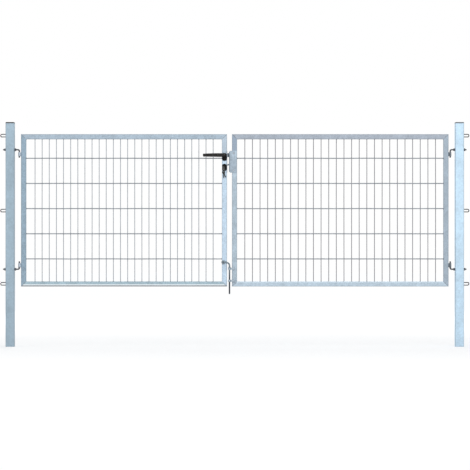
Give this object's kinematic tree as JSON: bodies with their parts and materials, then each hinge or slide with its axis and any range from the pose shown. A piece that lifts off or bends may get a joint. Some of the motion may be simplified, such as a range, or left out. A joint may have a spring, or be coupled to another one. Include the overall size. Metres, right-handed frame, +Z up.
{
  "type": "double gate with posts",
  "caption": "Double swing gate of square steel tube with welded wire mesh, hung on pintles between two posts, with lever lock, keep and drop bolt.",
  "frame": {"origin": "on the left post's foot, in the middle of the wall that faces away from the gate", "axes": "+X along the gate towards the right post, +Y away from the viewer, the way the leaves open, +Z up"},
  "size_m": [3.7304, 0.144, 1.7835],
  "materials": {
    "galvanised_steel": "hot-dip galvanised, dull blue grey with zinc mottling",
    "plated_steel": "dark zinc-plated threaded rod and nuts",
    "dark_cap": "moulded black plastic",
    "grey_cap": "moulded blue-grey plastic",
    "black_coated": "black powder coat, satin",
    "bright_steel": "stainless, brushed",
    "cylinder_brass": "nickel-plated brass",
    "key_metal": "dull brass"
  },
  "bodies": {
    "posts": {"left_post": "galvanised_steel", "right_post": "galvanised_steel", "left_post_cap": "dark_cap", "right_post_cap": "grey_cap", "left_fence_eyes": "galvanised_steel", "right_fence_eyes": "galvanised_steel", "left_upper_pintle": "plated_steel", "left_lower_pintle": "plated_steel", "right_upper_pintle": "plated_steel", "right_lower_pintle": "plated_steel", "left_hinge_nuts": "plated_steel", "right_hinge_nuts": "plated_steel"},
    "left_leaf": {"left_leaf_hinge_stile": "galvanised_steel", "left_leaf_lock_stile": "galvanised_steel", "left_leaf_top_rail": "galvanised_steel", "left_leaf_bottom_rail": "galvanised_steel", "left_leaf_mesh": "galvanised_steel", "left_leaf_upper_eye": "galvanised_steel", "left_leaf_lower_eye": "galvanised_steel", "lock_case": "bright_steel", "lock_faceplate": "bright_steel", "front_lever_rose": "black_coated", "back_lever_rose": "black_coated", "front_cylinder_rose": "black_coated", "back_cylinder_rose": "black_coated", "lock_cylinder": "cylinder_brass", "key": "key_metal", "key_ring": "bright_steel", "spare_keys": "key_metal"},
    "lever": {"front_lever": "black_coated", "back_lever": "black_coated", "lever_spindle": "bright_steel"},
    "latch": {"latch_bolt": "bright_steel"},
    "hook": {"hook_bolt": "bright_steel"},
    "right_leaf": {"right_leaf_hinge_stile": "galvanised_steel", "right_leaf_meeting_stile": "galvanised_steel", "right_leaf_top_rail": "galvanised_steel", "right_leaf_bottom_rail": "galvanised_steel", "right_leaf_mesh": "galvanised_steel", "right_leaf_upper_eye": "galvanised_steel", "right_leaf_lower_eye": "galvanised_steel", "keep_plate": "galvanised_steel", "drop_bolt_guides": "galvanised_steel"},
    "drop_rod": {"drop_bolt": "plated_steel"}
  },
  "joints": [
    {"name": "left_leaf_swing", "type": "hinge", "parent": "posts", "child": "left_leaf", "pos_m": [0.1055, 0, 1], "axis": [0, 0, 1], "range_deg": [0, 90]},
    {"name": "right_leaf_swing", "type": "hinge", "parent": "posts", "child": "right_leaf", "pos_m": [3.5315, 0, 1], "axis": [0, 0, -1], "range_deg": [0, 90]},
    {"name": "lever_turn", "type": "hinge", "parent": "left_leaf", "child": "lever", "pos_m": [1.7325, 0, 1.522], "axis": [0, -1, 0], "range_deg": [0, 40], "stiffness_Nm_per_rad": 1.2, "springref_deg": -34.38},
    {"name": "latch_slide", "type": "slide", "parent": "left_leaf", "child": "latch", "axis": [-1, 0, 0], "range_m": [0, 0.0201]},
    {"name": "hook_swing", "type": "hinge", "parent": "left_leaf", "child": "hook", "pos_m": [1.7465, 0, 1.43], "axis": [0, -1, 0], "range_deg": [0, 80]},
    {"name": "drop_bolt_slide", "type": "slide", "parent": "right_leaf", "child": "drop_rod", "axis": [0, 0, 1], "range_m": [0, 0.09]}
  ],
  "couplings": [
    {"joint": "latch_slide", "follows": "lever_turn", "m_per_rad": 0.02865}
  ]
}
